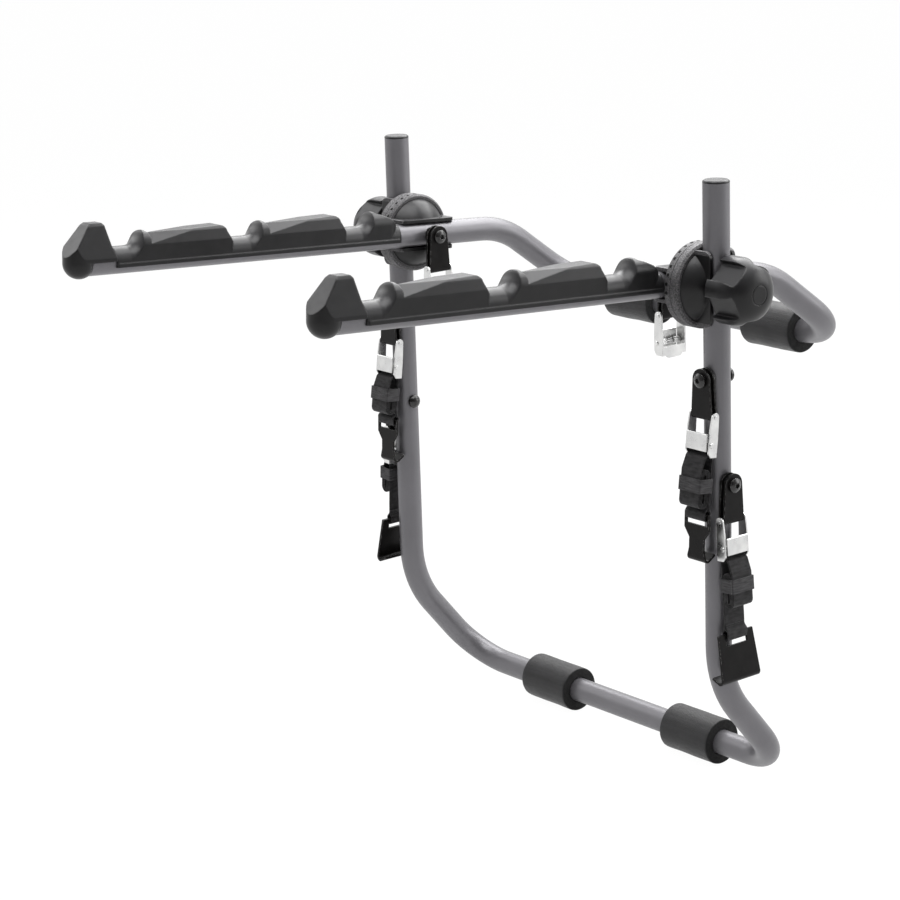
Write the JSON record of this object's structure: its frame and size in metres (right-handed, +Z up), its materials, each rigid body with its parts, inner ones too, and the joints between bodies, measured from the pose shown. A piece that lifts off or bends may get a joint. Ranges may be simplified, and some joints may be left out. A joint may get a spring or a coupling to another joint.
{
  "type": "trunk mounted bike rack",
  "caption": "Folding bicycle rack for a vehicle's boot lid: bent tube frames joined by clamped hubs, with notched arms, foam pads and cam buckle straps with hooks.",
  "frame": {"origin": "middle of the lower cross tube, between the two lower pads", "axes": "+Y towards the vehicle, +Z up, +X to the side of the right-hand post"},
  "size_m": [0.5874, 0.6811, 0.6206],
  "materials": {
    "tube_paint": "satin",
    "moulding": "satin",
    "foam": "matte",
    "zinc": "bright",
    "black_steel": "satin",
    "webbing": "matte",
    "elastic": "matte"
  },
  "bodies": {
    "frame": {"lower_frame": "tube_paint", "post_cap_left": "moulding", "post_cap_right": "moulding", "lower_pad_left": "foam", "lower_pad_right": "foam", "hub_outer_left": "moulding", "hub_outer_right": "moulding", "hub_bolts": "black_steel", "knob_saddles": "black_steel", "strap_bolts": "black_steel", "strap_nuts": "black_steel", "strap_spacers": "black_steel"},
    "arms": {"arm_frame": "tube_paint", "cradle_left": "moulding", "cradle_right": "moulding", "end_block_left": "moulding", "end_block_right": "moulding", "upper_pad_left": "foam", "upper_pad_right": "foam", "hub_inner_left": "moulding", "hub_inner_right": "moulding", "hub_spacers": "black_steel"},
    "knob_left": {"knob_left": "moulding"},
    "knob_right": {"knob_right": "moulding"},
    "link_top_left": {"bracket_top_left": "black_steel"},
    "strap_top_left": {"buckle_top_left": "zinc", "pin_top_left": "zinc"},
    "cam_top_left": {"lever_top_left": "zinc"},
    "link_top_right": {"bracket_top_right": "black_steel"},
    "strap_top_right": {"buckle_top_right": "zinc", "pin_top_right": "zinc"},
    "cam_top_right": {"lever_top_right": "zinc"},
    "link_front_left": {"bracket_front_left": "black_steel"},
    "strap_front_left": {"buckle_front_left": "zinc", "pin_front_left": "zinc", "webbing_front_left": "webbing", "band_front_left": "elastic"},
    "cam_front_left": {"lever_front_left": "zinc"},
    "hook_front_left": {"hook_front_left": "black_steel"},
    "link_front_right": {"bracket_front_right": "black_steel"},
    "strap_front_right": {"buckle_front_right": "zinc", "pin_front_right": "zinc", "webbing_front_right": "webbing", "band_front_right": "elastic"},
    "cam_front_right": {"lever_front_right": "zinc"},
    "hook_front_right": {"hook_front_right": "black_steel"},
    "link_side_left": {"bracket_side_left": "black_steel"},
    "strap_side_left": {"buckle_side_left": "zinc", "pin_side_left": "zinc", "webbing_side_left": "webbing", "band_side_left": "elastic"},
    "cam_side_left": {"lever_side_left": "zinc"},
    "hook_side_left": {"hook_side_left": "black_steel"},
    "link_side_right": {"bracket_side_right": "black_steel"},
    "strap_side_right": {"buckle_side_right": "zinc", "pin_side_right": "zinc", "webbing_side_right": "webbing", "band_side_right": "elastic"},
    "cam_side_right": {"lever_side_right": "zinc"},
    "hook_side_right": {"hook_side_right": "black_steel"}
  },
  "joints": [
    {"name": "arm_fold", "type": "hinge", "parent": "frame", "child": "arms", "pos_m": [0, -0.089, 0.496], "axis": [1, 0, 0], "range_deg": [-35, 93.75]},
    {"name": "knob_left_turn", "type": "hinge", "parent": "frame", "child": "knob_left", "pos_m": [-0.268, -0.089, 0.496], "axis": [-1, 0, 0], "continuous": true},
    {"name": "knob_right_turn", "type": "hinge", "parent": "frame", "child": "knob_right", "pos_m": [0.268, -0.089, 0.496], "axis": [1, 0, 0], "continuous": true},
    {"name": "link_top_left_swing", "type": "hinge", "parent": "frame", "child": "link_top_left", "pos_m": [-0.1926, -0.089, 0.496], "axis": [1, 0, 0], "range_deg": [-75, 75]},
    {"name": "buckle_top_left_tip", "type": "hinge", "parent": "link_top_left", "child": "strap_top_left", "pos_m": [-0.1751, -0.089, 0.462], "axis": [0, -1, 0], "range_deg": [0, 70]},
    {"name": "lever_top_left_open", "type": "hinge", "parent": "strap_top_left", "child": "cam_top_left", "pos_m": [-0.17275, -0.089, 0.43578], "axis": [0, 1, 0], "range_deg": [0, 40]},
    {"name": "link_top_right_swing", "type": "hinge", "parent": "frame", "child": "link_top_right", "pos_m": [0.1926, -0.089, 0.496], "axis": [1, 0, 0], "range_deg": [-75, 75]},
    {"name": "buckle_top_right_tip", "type": "hinge", "parent": "link_top_right", "child": "strap_top_right", "pos_m": [0.1751, -0.089, 0.462], "axis": [0, 1, 0], "range_deg": [0, 70]},
    {"name": "lever_top_right_open", "type": "hinge", "parent": "strap_top_right", "child": "cam_top_right", "pos_m": [0.17275, -0.089, 0.43578], "axis": [0, -1, 0], "range_deg": [0, 40]},
    {"name": "link_front_left_swing", "type": "hinge", "parent": "frame", "child": "link_front_left", "pos_m": [-0.238, -0.089, 0.411], "axis": [0, 1, 0], "range_deg": [-60, 0]},
    {"name": "buckle_front_left_tip", "type": "hinge", "parent": "link_front_left", "child": "strap_front_left", "pos_m": [-0.238, -0.1065, 0.377], "axis": [-1, 0, 0], "range_deg": [0, 70]},
    {"name": "lever_front_left_open", "type": "hinge", "parent": "strap_front_left", "child": "cam_front_left", "pos_m": [-0.238, -0.11225, 0.35131], "axis": [1, 0, 0], "range_deg": [0, 40]},
    {"name": "hook_front_left_sway", "type": "hinge", "parent": "strap_front_left", "child": "hook_front_left", "pos_m": [-0.238, -0.11463, 0.29032], "axis": [-1, 0, 0], "range_deg": [0, 15]},
    {"name": "link_front_right_swing", "type": "hinge", "parent": "frame", "child": "link_front_right", "pos_m": [0.238, -0.089, 0.411], "axis": [0, -1, 0], "range_deg": [-60, 0]},
    {"name": "buckle_front_right_tip", "type": "hinge", "parent": "link_front_right", "child": "strap_front_right", "pos_m": [0.238, -0.1065, 0.377], "axis": [-1, 0, 0], "range_deg": [0, 70]},
    {"name": "lever_front_right_open", "type": "hinge", "parent": "strap_front_right", "child": "cam_front_right", "pos_m": [0.238, -0.11225, 0.35131], "axis": [1, 0, 0], "range_deg": [0, 40]},
    {"name": "hook_front_right_sway", "type": "hinge", "parent": "strap_front_right", "child": "hook_front_right", "pos_m": [0.238, -0.11587, 0.2809], "axis": [-1, 0, 0], "range_deg": [0, 15]},
    {"name": "link_side_left_swing", "type": "hinge", "parent": "frame", "child": "link_side_left", "pos_m": [-0.238, -0.089, 0.31], "axis": [1, 0, 0], "range_deg": [-3, 75]},
    {"name": "buckle_side_left_tip", "type": "hinge", "parent": "link_side_left", "child": "strap_side_left", "pos_m": [-0.2555, -0.089, 0.276], "axis": [0, 1, 0], "range_deg": [0, 70]},
    {"name": "lever_side_left_open", "type": "hinge", "parent": "strap_side_left", "child": "cam_side_left", "pos_m": [-0.25967, -0.089, 0.25001], "axis": [0, -1, 0], "range_deg": [0, 40]},
    {"name": "hook_side_left_sway", "type": "hinge", "parent": "strap_side_left", "child": "hook_side_left", "pos_m": [-0.25958, -0.089, 0.17103], "axis": [0, 1, 0], "range_deg": [-2, 8]},
    {"name": "link_side_right_swing", "type": "hinge", "parent": "frame", "child": "link_side_right", "pos_m": [0.238, -0.089, 0.31], "axis": [1, 0, 0], "range_deg": [-3, 75]},
    {"name": "buckle_side_right_tip", "type": "hinge", "parent": "link_side_right", "child": "strap_side_right", "pos_m": [0.2555, -0.089, 0.276], "axis": [0, -1, 0], "range_deg": [0, 70]},
    {"name": "lever_side_right_open", "type": "hinge", "parent": "strap_side_right", "child": "cam_side_right", "pos_m": [0.25967, -0.089, 0.25001], "axis": [0, 1, 0], "range_deg": [0, 40]},
    {"name": "hook_side_right_sway", "type": "hinge", "parent": "strap_side_right", "child": "hook_side_right", "pos_m": [0.26021, -0.089, 0.16205], "axis": [0, -1, 0], "range_deg": [-2, 8]}
  ]
}
